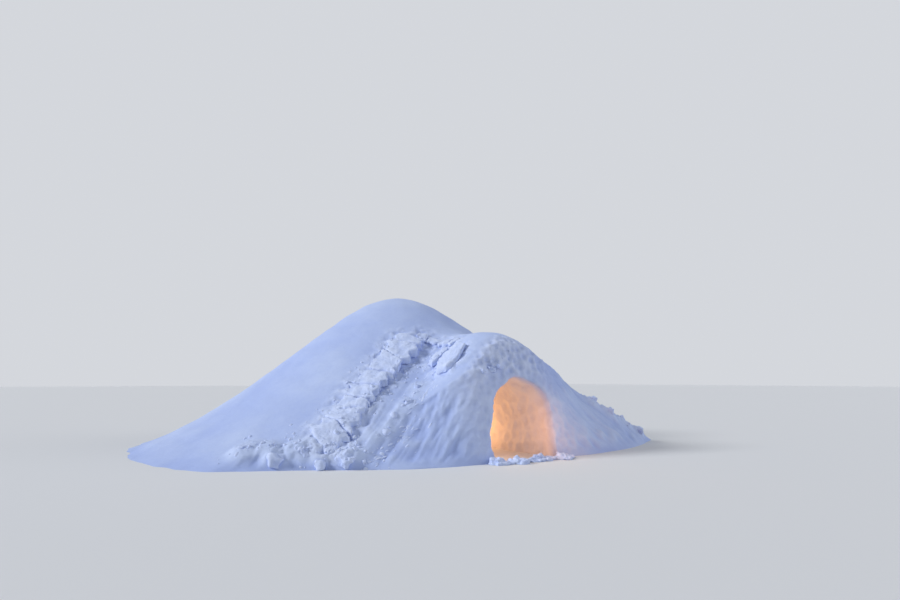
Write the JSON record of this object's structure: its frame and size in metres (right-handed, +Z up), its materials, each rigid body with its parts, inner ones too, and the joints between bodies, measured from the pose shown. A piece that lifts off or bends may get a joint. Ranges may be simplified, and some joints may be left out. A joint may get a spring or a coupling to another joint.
{
  "type": "igloo",
  "caption": "Heaped-snow igloo: domed chamber in a smooth packed mound with a lower porch mound, an arched entrance tunnel and a hewn open doorway.",
  "frame": {"origin": "on the ground under the middle of the whole igloo's bounding box", "axes": "+Z up; the entrance tunnel runs along Y and its doorway faces -Y; +X to the right as seen from outside facing the doorway"},
  "size_m": [12.276, 11.2319, 3.5587],
  "materials": {
    "packed_snow": "matte",
    "hewn_snow": "matte",
    "glazed_snow": "satin",
    "loose_snow": "matte"
  },
  "bodies": {
    "root": {"bank_left_inner": "packed_snow", "bank_left_outer": "packed_snow", "dome_crown": "packed_snow", "dome_wall_back": "packed_snow", "dome_wall_back_left": "packed_snow", "dome_wall_back_right": "packed_snow", "dome_wall_front_left": "packed_snow", "dome_wall_front_right": "packed_snow", "dome_wall_left": "packed_snow", "dome_wall_right": "packed_snow", "flank_left_upper": "packed_snow", "flank_right_upper": "packed_snow", "shoulder_back_left": "packed_snow", "shoulder_back_right": "packed_snow", "shoulder_front": "packed_snow", "shoulder_left": "packed_snow", "shoulder_right": "packed_snow", "wing_right": "packed_snow", "cheek_wall_left": "hewn_snow", "cheek_wall_right": "hewn_snow", "portal_arch": "hewn_snow", "hewn_chips": "hewn_snow", "tunnel_wall_left": "glazed_snow", "tunnel_wall_right": "glazed_snow", "tunnel_vault": "glazed_snow", "neck_wall_left": "glazed_snow", "neck_wall_right": "glazed_snow", "crust_upper": "loose_snow", "crust_lower": "loose_snow", "crust_slab": "loose_snow", "crust_crumbs": "loose_snow", "foot_clods_left": "loose_snow", "foot_clods_right": "loose_snow", "threshold_sill": "loose_snow"}
  },
  "joints": []
}
